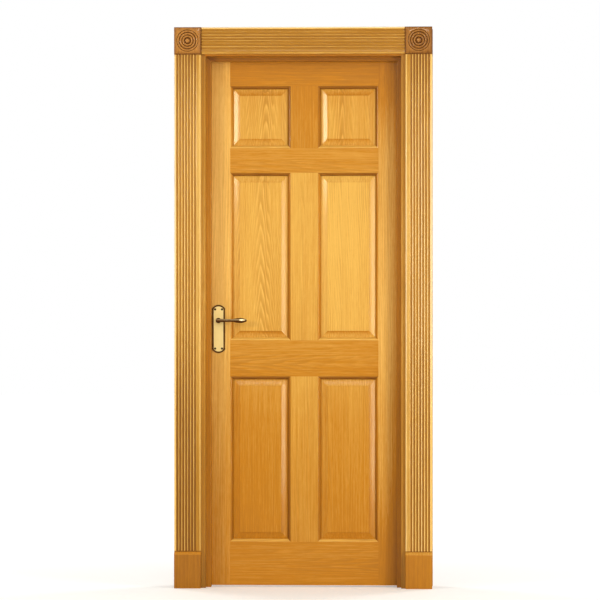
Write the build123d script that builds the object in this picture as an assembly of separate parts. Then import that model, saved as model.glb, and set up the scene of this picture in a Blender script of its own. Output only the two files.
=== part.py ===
from build123d import *
from math import radians, sin
import os

# A six-panel oak door in its lining, dressed on both faces of the wall with fluted casings,
# turned corner blocks and plinth blocks. Millimetres. X runs to the right of someone facing
# the front, Y runs through the wall away from them, Z runs up from the finished floor.
# The origin is on the floor, midway between the linings, in the plane of the wall's front face.

# Leaf
leaf_width = 726
leaf_height = 1981
leaf_thickness = 44
side_gap = 3
top_gap = 3
floor_gap = 5

# Framing of the leaf: widths on the face, sticking included. The lock rail hangs below the latch.
stile_width = 95
muntin_width = 124
top_rail = 116
frieze_rail = 114
lock_rail = 157
bottom_rail = 174
top_panel_sight = 212
lock_rail_drop = 64

# Sticking: an ovolo between two small steps, and the groove that holds the panels
sticking_step = 1.5
sticking_radius = 9.5
groove_width = 12.3
groove_depth = 12

# Raised and fielded panels
panel_tongue = 12
panel_edge_clearance = 2
panel_bevel_width = 24
panel_bevel_rise = 8
panel_shoulder = 2

# Dowels in the stile joints
dowel_radius = 7.5
dowel_length = 100
dowel_inset = 34

# Lining and stops
wall_thickness = 132
lining_thickness = 30
lining_housing = 8
stop_stand = 17.5
stop_depth = 36
stop_clearance = 0.8
stop_arris = 2

# Casings
side_quirk = 16
head_quirk = 7
casing_width = 100
casing_thickness = 20
flute_count = 7
flute_pitch = 11
first_flute = 12
flute_width = 8.4
flute_depth = 3.4
casing_outer_arris = 2
casing_inner_round = 6
casing_inner_step = 1.2

# Corner blocks and plinth blocks
block_thickness = 25
block_arris = 1.5
rosette_radius = 41
rosette_depth = 6
rosette_button = 12
rosette_grooves = [21, 31]
rosette_groove_width = 1.6
rosette_ring_rise = 5
rosette_ring_crown = 2
rosette_floor = 0.5
rosette_dimple_radius = 3
rosette_dimple_depth = 1.2
plinth_height = 137
plinth_thickness = 28
plinth_bevel_height = 11
plinth_arris = 3

# Butt hinges
hinge_height = 100
hinge_plate_thickness = 2.5
hinge_plate_depth = 34
hinge_knuckle_radius = 6.5
hinge_stand = 0.5
hinge_knuckles = 5
knuckle_end_gap = 0.4
knuckle_side_gap = 0.6
pin_radius = 3
pin_clearance = 0.05
pin_head_radius = 5
pin_head_height = 2
top_hinge_inset = 150
bottom_hinge_inset = 225
hinge_screws = 4
hinge_screw_margin = 14
hinge_screw_stagger = 11
hinge_screw_length = 30

# Countersunk screws
screw_head_radius = 4
screw_shank_radius = 2
screw_head_height = 2
small_screw_head_radius = 3.2
small_screw_shank_radius = 1.5
small_screw_length = 16

# Latch, set in the latch stile
latch_height = 1000
backset = 40.5
case_length = 62
case_width = 15
case_wall = 1.5
case_below = 11
case_above = 26
mortise_clearance = 0.2
forend_thickness = 3
forend_width = 22
forend_height = 75
forend_screw_spacing = 62
bolt_throw = 12
bolt_width = 12
bolt_height = 18
bolt_back = 10
bolt_nose = 2.5
bolt_clearance = 0.15
tail_thickness = 5
tail_height = 4
lug_thickness = 4
tail_clearance = 1.3
lug_drop = 6.5

# Follower that draws the latch back
lever_turn = 45
follower_radius = 8
follower_clearance = 0.05
arm_radius = 15.7
arm_nose = 2.5
arm_width = 3
arm_thickness = 4
arm_clearance = 0.4
spindle_size = 8
spindle_clearance = 0.1
spindle_end_gap = 1
spindle_hole_radius = 9.5

# Strike plate on the latch lining
strike_thickness = 2
strike_height = 64
strike_depth = 40
strike_lip = 4
strike_screw_spacing = 46
strike_pocket_depth = 14
strike_clearance = 1.5

# Lever handles on arched backplates
plate_width = 50
plate_waist = 48
plate_height = 181
plate_thickness = 3
plate_arch_rise = 15
plate_end = 17
plate_ease = 2
plate_above_axis = 58.6
plate_screw_inset = 17
plate_screw_spacing = 25.6
boss_radius = 11.5
boss_height = 5
collar_radius = 10
collar_height = 4
collar_clearance = 0.3
lever_projection = 45
spigot_radius = 8
spigot_clearance = 0.05
lever_neck_radius = 6.5
lever_waist_radius = 5.2
lever_waist_at = 46
lever_bulb_radius = 9.5
lever_bulb_at = 84
lever_nose_radius = 5
lever_length = 109
socket_depth = 25

# Places that follow from the sizes
half_leaf = leaf_width / 2
half_thickness = leaf_thickness / 2
leaf_front = wall_thickness - leaf_thickness
leaf_middle = leaf_front + half_thickness
leaf_bottom = floor_gap
leaf_top = floor_gap + leaf_height
lining_face = half_leaf + side_gap
head_soffit = leaf_top + top_gap
lining_top = head_soffit + lining_thickness
lining_outer = lining_face + lining_thickness
casing_inner = lining_face + side_quirk
casing_outer = casing_inner + casing_width
casing_soffit = head_soffit + head_quirk
casing_top = casing_soffit + casing_width
sticking_width = sticking_radius + sticking_step
panel_sight_width = (leaf_width - 2 * stile_width - muntin_width) / 2
hinge_axis_x = half_leaf + side_gap / 2
hinge_axis_y = wall_thickness + hinge_knuckle_radius + hinge_stand
knuckle_height = hinge_height / hinge_knuckles
spindle_x = -half_leaf + backset


def span(low, high, bottom, top, front, back):
    """A box given by its two X, two Z and two Y limits."""
    middle = ((low + high) / 2, (front + back) / 2, (bottom + top) / 2)
    return Pos(*middle) * Box(high - low, back - front, top - bottom)


def flat(low, high, bottom, top):
    """A rectangle in a drawing plane, given by its limits."""
    return Pos((low + high) / 2, (bottom + top) / 2) * Rectangle(high - low, top - bottom)


def rod(start, direction, radius, length):
    """A cylinder from a start point along a direction."""
    return extrude(Plane(origin=start, z_dir=direction) * Circle(radius), length)


def across(piece):
    """The same piece on the other side of the doorway."""
    return mirror(piece, Plane.YZ)


def behind(piece):
    """The same piece on the other face of the wall."""
    return mirror(piece, Plane(origin=(0, wall_thickness / 2, 0), z_dir=(0, 1, 0)))


def solids_of(piece):
    """One shape of the separate solids in a piece or a list of pieces."""
    pieces = piece if isinstance(piece, list) else [piece]
    return Compound(children=[s for p in pieces for s in p.solids()])


def screw(head_centre, direction, length, head_radius, shank_radius):
    """A countersunk screw whose head is flush at its centre point, driven along a direction."""
    plane = Plane(origin=head_centre, z_dir=direction)
    outline = Polyline(
        (0, 0),
        (head_radius, 0),
        (shank_radius, screw_head_height),
        (shank_radius, length - shank_radius),
        (0, length),
        close=True,
    )
    turned = revolve(Plane.XZ * make_face(outline), Axis.Z)
    return plane.location * turned


# Leaf: stiles, rails and muntins
def member_section(low, high, moulded_low, moulded_high):
    """Section of a framing member: its width along local X, its thickness along local Y."""
    section = flat(low, high, -half_thickness, half_thickness)
    edges = [(low, 1)] * moulded_low + [(high, -1)] * moulded_high
    for edge, inward in edges:
        inner = edge + inward * sticking_width
        ends = sorted((edge, inner))
        hollow_low = half_thickness - sticking_width
        for face in (1, -1):
            waste = flat(*ends, *sorted((face * hollow_low, face * half_thickness)))
            waste -= Pos(inner, face * hollow_low) * Circle(sticking_radius)
            section -= waste
        groove = sorted((edge, edge + inward * groove_depth))
        section -= flat(*groove, -groove_width / 2, groove_width / 2)
    return section


def upright(section, bottom, top):
    """A section carried up the leaf."""
    return extrude(Plane(origin=(0, leaf_middle, bottom)) * section, top - bottom)


def level(section, half_length):
    """A section carried along the leaf, its local X upwards."""
    plane = Plane(origin=(half_length, leaf_middle, 0), x_dir=(0, 0, 1), z_dir=(-1, 0, 0))
    return extrude(plane * section, 2 * half_length)


def rail_levels():
    """Bottom and top of each rail, from the floor up."""
    bottom = (leaf_bottom, leaf_bottom + bottom_rail)
    lock_top = latch_height - lock_rail_drop
    lock = (lock_top - lock_rail, lock_top)
    top = (leaf_top - top_rail, leaf_top)
    frieze = (top[0] - top_panel_sight - frieze_rail, top[0] - top_panel_sight)
    return {"bottom": bottom, "lock": lock, "frieze": frieze, "top": top}


def leaf_framing():
    """Full-height stiles, rails coped between them, muntins coped between the rails."""
    stile = member_section(-half_leaf, -half_leaf + stile_width, False, True)
    pieces = {"stile_latch_side": upright(stile, leaf_bottom, leaf_top)}
    pieces["stile_hinge_side"] = across(pieces["stile_latch_side"])
    reach = half_leaf - stile_width + groove_depth
    levels = rail_levels()
    for name, (bottom, top) in levels.items():
        section = member_section(bottom, top, name != "bottom", name != "top")
        rail = level(section, reach)
        rail -= pieces["stile_latch_side"]
        rail -= pieces["stile_hinge_side"]
        pieces["rail_" + name] = rail
    muntin = member_section(-muntin_width / 2, muntin_width / 2, True, True)
    for name, below, above in panel_rows():
        low = levels[below][1] - groove_depth
        high = levels[above][0] + groove_depth
        stick = upright(muntin, low, high)
        stick -= pieces["rail_" + below]
        stick -= pieces["rail_" + above]
        pieces["muntin_" + name] = stick
    return pieces


def panel_rows():
    """Each row of panels with the rails below and above it."""
    return [("bottom", "bottom", "lock"), ("middle", "lock", "frieze"), ("top", "frieze", "top")]


def leaf_panel(bottom, top):
    """A latch-side panel: a tongue in the grooves and a raised field on both faces."""
    low = -half_leaf + stile_width
    high = low + panel_sight_width
    margin = groove_depth - panel_edge_clearance
    half_tongue = panel_tongue / 2
    front = leaf_middle - half_tongue
    back = leaf_middle + half_tongue
    board = span(low - margin, high + margin, bottom - margin, top + margin, front, back)
    width = high - low
    height = top - bottom
    bevel = panel_bevel_width
    slope = Wedge(
        width,
        panel_bevel_rise,
        height,
        bevel,
        bevel,
        width - bevel,
        height - bevel,
        align=(Align.CENTER, Align.MIN, Align.CENTER),
    )
    field = Box(
        width - 2 * bevel,
        panel_bevel_rise + panel_shoulder,
        height - 2 * bevel,
        align=(Align.CENTER, Align.MIN, Align.CENTER),
    )
    raised = Pos((low + high) / 2, leaf_middle + half_tongue, (bottom + top) / 2) * (slope + field)
    other = mirror(raised, Plane(origin=(0, leaf_middle, 0), z_dir=(0, 1, 0)))
    return board + raised + other


def leaf_panels():
    """The six panels, each named for its row and side."""
    levels = rail_levels()
    pieces = {}
    for name, below, above in panel_rows():
        panel = leaf_panel(levels[below][1], levels[above][0])
        pieces["panel_" + name + "_latch_side"] = panel
        pieces["panel_" + name + "_hinge_side"] = across(panel)
    return pieces


def leaf_dowels():
    """Two dowels in each end of each rail, half in the rail and half in the stile."""
    shoulder = -half_leaf + stile_width - sticking_width
    start = shoulder - dowel_length / 2
    dowels = []
    for bottom, top in rail_levels().values():
        for height in (bottom + dowel_inset, top - dowel_inset):
            dowel = rod((start, leaf_middle, height), (1, 0, 0), dowel_radius, dowel_length)
            dowels += [dowel, across(dowel)]
    return dowels


# Lining and stops
def lining():
    """Two legs housed into a head."""
    leg_top = head_soffit + lining_housing
    leg = span(-lining_outer, -lining_face, 0, leg_top, 0, wall_thickness)
    head = span(-lining_outer, lining_outer, head_soffit, lining_top, 0, wall_thickness)
    head -= leg
    head -= across(leg)
    return {"lining_latch_side": leg, "lining_hinge_side": across(leg), "lining_head": head}


def stop_section():
    """Section of a stop: local X from the lining inwards, local Y towards the leaf."""
    section = flat(0, stop_stand, -stop_depth, 0)
    return fillet(section.vertices().group_by(Axis.Y)[0].sort_by(Axis.X)[-1], stop_arris)


def stops():
    """Stops planted on the lining in front of the leaf, mitred at the head."""
    back = leaf_front - stop_clearance
    side_plane = Plane(origin=(-lining_face, back, 0))
    side = extrude(side_plane * stop_section(), head_soffit)
    plane = Plane(origin=(-lining_face, back, head_soffit), x_dir=(0, 0, -1), z_dir=(1, 0, 0))
    head = extrude(plane * stop_section(), 2 * lining_face)
    corner = (-lining_face, head_soffit)
    low = head_soffit - stop_stand
    mitre = Polyline(corner, (-lining_face + stop_stand, low), (-lining_face, low), close=True)
    front = Plane(origin=(0, back, 0), x_dir=(1, 0, 0), z_dir=(0, -1, 0))
    side_end = extrude(front * make_face(mitre), stop_depth)
    above = span(-lining_face, lining_face, low, head_soffit, back - stop_depth, back)
    side -= above - side_end
    head -= side
    head -= across(side)
    return {"stop_latch_side": side, "stop_hinge_side": across(side), "stop_head": head}


# Casings, corner blocks and plinth blocks
def casing_section():
    """Section of a fluted casing: local X from its outer edge, local Y out from the wall."""
    section = flat(0, casing_width, 0, casing_thickness)
    arris = section.vertices().group_by(Axis.Y)[-1].sort_by(Axis.X)[0]
    section = fillet(arris, casing_outer_arris)
    radius = ((flute_width / 2) ** 2 + flute_depth ** 2) / (2 * flute_depth)
    for index in range(flute_count):
        centre = first_flute + index * flute_pitch
        section -= Pos(centre, casing_thickness - flute_depth + radius) * Circle(radius)
    low = casing_thickness - casing_inner_step - casing_inner_round
    inner = casing_width - casing_inner_round
    waste = flat(inner, casing_width, low, casing_thickness)
    waste -= Pos(inner, low) * Circle(casing_inner_round)
    return section - waste


def casing_leg():
    """The latch-side leg, from its plinth block up to its corner block."""
    plane = Plane(origin=(-casing_outer, 0, casing_soffit), z_dir=(0, 0, -1), x_dir=(1, 0, 0))
    return extrude(plane * casing_section(), casing_soffit - plinth_height)


def casing_head():
    """The casing over the doorway, between the corner blocks."""
    plane = Plane(origin=(casing_inner, 0, casing_top), x_dir=(0, 0, -1), z_dir=(-1, 0, 0))
    return extrude(plane * casing_section(), 2 * casing_inner)


def rosette_rings():
    """Turned rings and the dimpled button, in section, then turned about their axis."""
    groove = rosette_groove_width / 2
    edges = [rosette_button, *rosette_grooves, rosette_radius]
    rings = Plane.XZ * flat(0, rosette_radius, 0, rosette_floor)
    for inner, outer in zip(edges, edges[1:]):
        start = inner + groove
        end = outer - groove
        side = rosette_ring_rise - rosette_ring_crown
        crown = ThreePointArc((start, side), ((start + end) / 2, rosette_ring_rise), (end, side))
        rings += Plane.XZ * make_face(crown + Polyline((end, side), (end, 0), (start, 0), (start, side)))
    button_end = rosette_button - groove
    dome = TangentArc((0, rosette_depth), (button_end, 0), tangent=(1, 0))
    rings += Plane.XZ * make_face(dome + Polyline((button_end, 0), (0, 0), (0, rosette_depth)))
    turned = revolve(rings, Axis.Z)
    dimple = (rosette_dimple_radius ** 2 + rosette_dimple_depth ** 2) / (2 * rosette_dimple_depth)
    turned -= Pos(0, 0, rosette_depth - rosette_dimple_depth + dimple) * Sphere(dimple)
    return turned


def corner_block():
    """The latch-side block: a square with a turned rosette sunk in its face."""
    block = span(-casing_outer, -casing_inner, casing_soffit, casing_top, -block_thickness, 0)
    block = chamfer(block.faces().sort_by(Axis.Y)[0].edges(), block_arris)
    centre_x = (-casing_outer - casing_inner) / 2
    centre_z = (casing_soffit + casing_top) / 2
    floor = (centre_x, rosette_depth - block_thickness, centre_z)
    block -= rod(floor, (0, -1, 0), rosette_radius, rosette_depth)
    return block + Plane(origin=floor, z_dir=(0, -1, 0)).location * rosette_rings()


def plinth_block():
    """The latch-side plinth block, bevelled back to the casing at its top."""
    block = span(-casing_outer, -casing_inner, 0, plinth_height, -plinth_thickness, 0)
    face = block.faces().sort_by(Axis.Y)[0]
    block = chamfer(face.edges().filter_by(Axis.Z), plinth_arris)
    rise = plinth_thickness - casing_thickness
    low = plinth_height - plinth_bevel_height
    section = make_face(
        Polyline(
            (-plinth_thickness, low),
            (-plinth_thickness + rise, plinth_height),
            (-plinth_thickness, plinth_height),
            close=True,
        )
    )
    plane = Plane(origin=(-casing_outer, 0, 0), x_dir=(0, 1, 0), z_dir=(1, 0, 0))
    return block - extrude(plane * section, casing_width)


def dressings():
    """Casings, blocks and plinths on both sides of the doorway and both faces of the wall."""
    pieces = {}
    sided = {"casing": casing_leg(), "corner_block": corner_block(), "plinth_block": plinth_block()}
    for name, piece in sided.items():
        pieces[name + "_front_latch_side"] = piece
        pieces[name + "_front_hinge_side"] = across(piece)
        pieces[name + "_rear_latch_side"] = behind(piece)
        pieces[name + "_rear_hinge_side"] = across(behind(piece))
    pieces["casing_front_head"] = casing_head()
    pieces["casing_rear_head"] = behind(casing_head())
    return pieces


# Hinges
def hinge_bottoms():
    """Bottom end of each hinge, and the hinge's name."""
    top = leaf_top - top_hinge_inset - hinge_height
    bottom = leaf_bottom + bottom_hinge_inset
    return {"top": top, "middle": (top + bottom) / 2, "bottom": bottom}


def hinge_plate_box(side, bottom, back):
    """Room of a hinge plate let into the lining (side 1) or the leaf (side -1)."""
    surface = hinge_axis_x + side * side_gap / 2
    ends = sorted((surface, surface + side * hinge_plate_thickness))
    return span(*ends, bottom, bottom + hinge_height, wall_thickness - hinge_plate_depth, back)


def hinge_screw_places(side, bottom):
    """Head centres of one plate's screws, staggered in two columns."""
    surface = hinge_axis_x + side * side_gap / 2
    pitch = (hinge_height - 2 * hinge_screw_margin) / (hinge_screws - 1)
    column = wall_thickness - hinge_plate_depth / 2
    places = []
    for index in range(hinge_screws):
        stagger = hinge_screw_stagger / 2 * (-1) ** index
        height = bottom + hinge_screw_margin + index * pitch
        places.append((surface, column + stagger, height))
    return places


def hinge_screw_set(side, bottom):
    """The screws of one plate, driven into the lining or the leaf."""
    set_of = []
    for place in hinge_screw_places(side, bottom):
        one = screw(place, (side, 0, 0), hinge_screw_length, screw_head_radius, screw_shank_radius)
        set_of.append(one)
    return set_of


def hinge_plate(side, bottom):
    """One flap of a butt hinge: its plate, its own knuckles, and the bore for the pin."""
    plate = hinge_plate_box(side, bottom, hinge_axis_y)
    own = 0 if side == 1 else 1
    for index in range(hinge_knuckles):
        low = bottom + index * knuckle_height
        base = (hinge_axis_x, hinge_axis_y, low)
        if index % 2 == own:
            start = (hinge_axis_x, hinge_axis_y, low + knuckle_end_gap / 2)
            length = knuckle_height - knuckle_end_gap
            plate += rod(start, (0, 0, 1), hinge_knuckle_radius, length)
        else:
            room = hinge_knuckle_radius + knuckle_side_gap
            start = (hinge_axis_x, hinge_axis_y, low - knuckle_end_gap / 2)
            plate -= rod(start, (0, 0, 1), room, knuckle_height + knuckle_end_gap)
    bore = (hinge_axis_x, hinge_axis_y, bottom)
    plate -= rod(bore, (0, 0, 1), pin_radius + pin_clearance, hinge_height)
    for one in hinge_screw_set(side, bottom):
        plate -= one
    return plate


def hinge_pin(bottom):
    """The pin with its head on the top knuckle."""
    start = (hinge_axis_x, hinge_axis_y, bottom)
    pin = rod(start, (0, 0, 1), pin_radius, hinge_height)
    seat = (hinge_axis_x, hinge_axis_y, bottom + hinge_height)
    return pin + rod(seat, (0, 0, 1), pin_head_radius, pin_head_height)


def hinges():
    """Three hinges: a lining flap and a leaf flap each, with pins and screws as groups."""
    pieces = {}
    pins = []
    lining_screws = []
    leaf_screws = []
    for name, bottom in hinge_bottoms().items():
        pieces["hinge_" + name + "_lining_flap"] = hinge_plate(1, bottom)
        pieces["hinge_" + name + "_leaf_flap"] = hinge_plate(-1, bottom)
        pins.append(hinge_pin(bottom))
        lining_screws += hinge_screw_set(1, bottom)
        leaf_screws += hinge_screw_set(-1, bottom)
    pieces["hinge_pins"] = pins
    pieces["hinge_lining_screws"] = lining_screws
    pieces["hinge_leaf_screws"] = leaf_screws
    return pieces


# Latch and strike
def latch_box(clearance, wall):
    """The latch case's outside, grown by a clearance, or its inside, shrunk by its wall."""
    front = -half_leaf + forend_thickness
    grow = clearance - wall
    return span(
        front,
        front + case_length + grow,
        latch_height - case_below - grow,
        latch_height + case_above + grow,
        leaf_middle - case_width / 2 - grow,
        leaf_middle + case_width / 2 + grow,
    )


def forend_box(clearance):
    """The forend plate let into the edge of the stile."""
    middle = latch_height + (case_above - case_below) / 2
    half = forend_height / 2 + clearance
    side = forend_width / 2 + clearance
    return span(
        -half_leaf,
        -half_leaf + forend_thickness,
        middle - half,
        middle + half,
        leaf_middle - side,
        leaf_middle + side,
    )


def edge_screws(surface, side, middle, spacing):
    """Two small screws in a plate on the edge of the leaf or on the lining."""
    set_of = []
    for offset in (-spacing / 2, spacing / 2):
        place = (surface, leaf_middle, middle + offset)
        radii = (small_screw_head_radius, small_screw_shank_radius)
        set_of.append(screw(place, (side, 0, 0), small_screw_length, *radii))
    return set_of


def latch_bolt():
    """The bevelled bolt, its tail over the follower, and the lug that the arm pushes."""
    tip = -half_leaf - bolt_throw
    back = -half_leaf + forend_thickness + bolt_back
    half = bolt_width / 2
    outline = Polyline(
        (tip, half),
        (tip, half - bolt_nose),
        (-half_leaf, -half),
        (back, -half),
        (back, half),
        close=True,
    )
    plane = Plane(origin=(0, leaf_middle, latch_height - bolt_height / 2))
    bolt = extrude(plane * make_face(outline), bolt_height)
    lean = radians(lever_turn / 2)
    lug_face = spindle_x - arm_radius * sin(lean) + arm_nose + arm_clearance
    tail_low = latch_height + arm_radius + arm_nose + tail_clearance
    tail_high = tail_low + tail_height
    front = leaf_middle - tail_thickness / 2
    rear = leaf_middle + tail_thickness / 2
    lug_back = lug_face + lug_thickness
    bolt += span(back, back + lug_thickness, latch_height, tail_high, front, rear)
    bolt += span(back, lug_back, tail_low, tail_high, front, rear)
    bolt += span(lug_face, lug_back, tail_low - lug_drop, tail_low, front, rear)
    return bolt


def square_bar(half, front, back):
    """A square bar through the leaf on the lever's axis."""
    low, high = spindle_x - half, spindle_x + half
    return span(low, high, latch_height - half, latch_height + half, front, back)


def follower():
    """The follower that the spindle turns, with the arm that draws the bolt."""
    start = (spindle_x, leaf_middle - case_width / 2, latch_height)
    piece = rod(start, (0, 1, 0), follower_radius, case_width)
    arm = flat(-arm_width / 2, arm_width / 2, 0, arm_radius) + Pos(0, arm_radius) * Circle(arm_nose)
    plane = Plane(origin=(0, arm_thickness / 2, 0), x_dir=(1, 0, 0), z_dir=(0, -1, 0))
    bar = Rot(0, -lever_turn / 2, 0) * extrude(plane * arm, arm_thickness)
    piece += Pos(spindle_x, leaf_middle, latch_height) * bar
    half = (spindle_size + 2 * spindle_clearance) / 2
    return piece - square_bar(half, 0, wall_thickness)


def latch():
    """Case, forend, bolt, follower and the forend's screws."""
    middle = latch_height + (case_above - case_below) / 2
    screws = edge_screws(-half_leaf, 1, middle, forend_screw_spacing)
    case = latch_box(0, 0) - latch_box(0, case_wall)
    eye = (spindle_x, 0, latch_height)
    case -= rod(eye, (0, 1, 0), follower_radius + follower_clearance, wall_thickness)
    forend = forend_box(0)
    side = bolt_width / 2 + bolt_clearance
    half = bolt_height / 2 + bolt_clearance
    limits = (latch_height - half, latch_height + half, leaf_middle - side, leaf_middle + side)
    forend -= span(-half_leaf, -half_leaf + forend_thickness, *limits)
    for one in screws:
        forend -= one
    return {
        "latch_case": case,
        "latch_forend": forend,
        "latch_forend_screws": screws,
        "latch_bolt": latch_bolt(),
        "latch_follower": follower(),
    }


def strike():
    """The strike plate with its lip past the lining's rear edge, and its screws."""
    screws = edge_screws(-lining_face, -1, latch_height, strike_screw_spacing)
    surface = -lining_face
    low, high = latch_height - strike_height / 2, latch_height + strike_height / 2
    front = wall_thickness - strike_depth
    plate = span(surface - strike_thickness, surface, low, high, front, wall_thickness)
    lip_low, lip_high = latch_height - bolt_height, latch_height + bolt_height
    lip = (wall_thickness, wall_thickness + strike_lip)
    plate += span(surface - strike_thickness, surface, lip_low, lip_high, *lip)
    plate -= strike_room(strike_thickness)
    for one in screws:
        plate -= one
    return {"strike_plate": plate, "strike_screws": screws}


def strike_room(depth):
    """The pocket that the bolt enters, to a depth behind the lining's face."""
    side = bolt_width / 2 + strike_clearance
    half = bolt_height / 2 + strike_clearance
    limits = (latch_height - half, latch_height + half, leaf_middle - side, leaf_middle + side)
    return span(-lining_face - depth, -lining_face, *limits)


# Lever handles
def plate_outline():
    """Outline of a backplate: arched ends on small shoulders, and a slightly waisted middle."""
    top = plate_above_axis
    bottom = plate_above_axis - plate_height
    half = plate_width / 2
    waist = plate_waist / 2
    shoulder = top - plate_arch_rise
    foot = bottom + plate_arch_rise
    low_waist = bottom + plate_end + plate_ease
    high_waist = top - plate_end - plate_ease
    arches = Line((half, foot), (half, bottom + plate_end))
    arches += Line((half, bottom + plate_end), (waist, low_waist))
    arches += Line((waist, low_waist), (waist, high_waist))
    arches += Line((waist, high_waist), (half, top - plate_end))
    arches += Line((half, top - plate_end), (half, shoulder))
    arches += ThreePointArc((half, shoulder), (0, top), (-half, shoulder))
    arches += Line((-half, shoulder), (-half, top - plate_end))
    arches += Line((-half, top - plate_end), (-waist, high_waist))
    arches += Line((-waist, high_waist), (-waist, low_waist))
    arches += Line((-waist, low_waist), (-half, bottom + plate_end))
    arches += Line((-half, bottom + plate_end), (-half, foot))
    arches += ThreePointArc((-half, foot), (0, bottom), (half, foot))
    return make_face(arches)


def plate_screw_set():
    """The four screws of the front backplate."""
    face = leaf_front - plate_thickness
    top = latch_height + plate_above_axis - plate_screw_inset
    bottom = latch_height + plate_above_axis - plate_height + plate_screw_inset
    radii = (small_screw_head_radius, small_screw_shank_radius)
    set_of = []
    for height in (bottom, top):
        for offset in (-plate_screw_spacing / 2, plate_screw_spacing / 2):
            place = (spindle_x + offset, face, height)
            set_of.append(screw(place, (0, 1, 0), small_screw_length, *radii))
    return set_of


def backplate():
    """The front backplate, with the boss that carries the lever."""
    plane = Plane(origin=(spindle_x, leaf_front, latch_height), x_dir=(1, 0, 0), z_dir=(0, -1, 0))
    plate = extrude(plane * plate_outline(), plate_thickness)
    start = (spindle_x, leaf_front, latch_height)
    plate += rod(start, (0, -1, 0), boss_radius, plate_thickness + boss_height)
    bore = spigot_radius + spigot_clearance
    plate -= rod(start, (0, -1, 0), bore, plate_thickness + boss_height)
    for one in plate_screw_set():
        plate -= one
    return plate


def lever_outline():
    """Half the arm's length section: a tapering neck, a swelling curve, and a rounded bulb."""
    neck = (0, lever_neck_radius)
    waist = (lever_waist_at, lever_waist_radius)
    bulb = (lever_bulb_at, lever_bulb_radius)
    halfway = ((waist[0] + bulb[0]) / 2, (waist[1] + bulb[1]) / 2)
    swell = TangentArc(waist, halfway, tangent=(1, 0))
    swell_end = TangentArc(halfway, bulb, tangent=swell % 1)
    nose = lever_nose_radius
    reach = lever_length - lever_bulb_at
    crown = ((reach - nose) ** 2 + lever_bulb_radius ** 2 - nose ** 2) / (2 * (lever_bulb_radius - nose))
    nose_centre = Vector(lever_length - nose, 0)
    lean = nose_centre - Vector(lever_bulb_at, lever_bulb_radius - crown)
    meeting = nose_centre + lean.normalized() * nose
    back = TangentArc(bulb, meeting, tangent=(1, 0))
    tip = TangentArc(meeting, (lever_length, 0), tangent=back % 1)
    foot = Polyline((lever_length, 0), (0, 0), neck, waist)
    return swell + swell_end + back + tip + foot


def lever():
    """The front lever: spigot, collar and neck out from the boss, then the arm and its bulb."""
    boss_face = leaf_front - plate_thickness - boss_height
    collar_back = boss_face - collar_clearance
    reach = leaf_front - lever_projection
    inner = (spindle_x, leaf_front, latch_height)
    outer = (spindle_x, collar_back, latch_height)
    piece = rod(inner, (0, -1, 0), spigot_radius, leaf_front - collar_back)
    piece += rod(outer, (0, -1, 0), collar_radius, collar_height)
    piece += rod(outer, (0, -1, 0), lever_neck_radius, collar_back - reach)
    piece += Pos(spindle_x, reach, latch_height) * Sphere(lever_neck_radius)
    turned = revolve(make_face(lever_outline()), Axis.X)
    piece += Pos(spindle_x, reach, latch_height) * turned
    half = spindle_size / 2 + spindle_clearance
    return piece - square_bar(half, leaf_front - socket_depth, leaf_front)


def behind_leaf(piece):
    """The same fitting on the leaf's other face."""
    return mirror(piece, Plane(origin=(0, leaf_middle, 0), z_dir=(0, 1, 0)))


def handles():
    """A backplate and lever on each face, the plates' screws, and the spindle."""
    screws = plate_screw_set()
    end = socket_depth - spindle_end_gap
    spindle = square_bar(spindle_size / 2, leaf_front - end, wall_thickness + end)
    return {
        "backplate_front": backplate(),
        "backplate_rear": behind_leaf(backplate()),
        "backplate_screws": screws + [behind_leaf(one) for one in screws],
        "lever_front": lever(),
        "lever_rear": behind_leaf(lever()),
        "spindle": spindle,
    }


def cut_for_hardware(pieces):
    """Sinkings, mortises, dowel holes and screw holes in the timber."""
    for bottom in hinge_bottoms().values():
        pieces["lining_hinge_side"] -= hinge_plate_box(1, bottom, wall_thickness)
        pieces["stile_hinge_side"] -= hinge_plate_box(-1, bottom, wall_thickness)
    for one in pieces["hinge_lining_screws"]:
        pieces["lining_hinge_side"] -= one
    for one in pieces["hinge_leaf_screws"]:
        pieces["stile_hinge_side"] -= one
    for dowel in pieces["rail_dowels"]:
        side = "latch" if dowel.center().X < 0 else "hinge"
        pieces["stile_" + side + "_side"] -= dowel
        for name, (bottom, top) in rail_levels().items():
            if bottom < dowel.center().Z < top:
                pieces["rail_" + name] -= dowel
    stile = pieces["stile_latch_side"]
    stile -= latch_box(mortise_clearance, 0)
    stile -= forend_box(mortise_clearance)
    eye = (spindle_x, leaf_front, latch_height)
    stile -= rod(eye, (0, 1, 0), spindle_hole_radius, leaf_thickness)
    for one in pieces["latch_forend_screws"] + pieces["backplate_screws"]:
        stile -= one
    pieces["stile_latch_side"] = stile
    leg = pieces["lining_latch_side"]
    low, high = latch_height - strike_height / 2, latch_height + strike_height / 2
    front = wall_thickness - strike_depth
    leg -= span(-lining_face - strike_thickness, -lining_face, low, high, front, wall_thickness)
    leg -= strike_room(strike_pocket_depth)
    for one in pieces["strike_screws"]:
        leg -= one
    pieces["lining_latch_side"] = leg


def all_pieces():
    """Every piece of the door and its frame, by node name."""
    pieces = {}
    pieces.update(lining())
    pieces.update(stops())
    pieces.update(dressings())
    pieces.update(leaf_framing())
    pieces.update(leaf_panels())
    pieces["rail_dowels"] = leaf_dowels()
    pieces.update(hinges())
    pieces.update(latch())
    pieces.update(strike())
    pieces.update(handles())
    cut_for_hardware(pieces)
    return pieces


os.makedirs("parts", exist_ok=True)
for node, piece in all_pieces().items():
    export_step(solids_of(piece), "parts/" + node + ".step")
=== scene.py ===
import math

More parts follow.
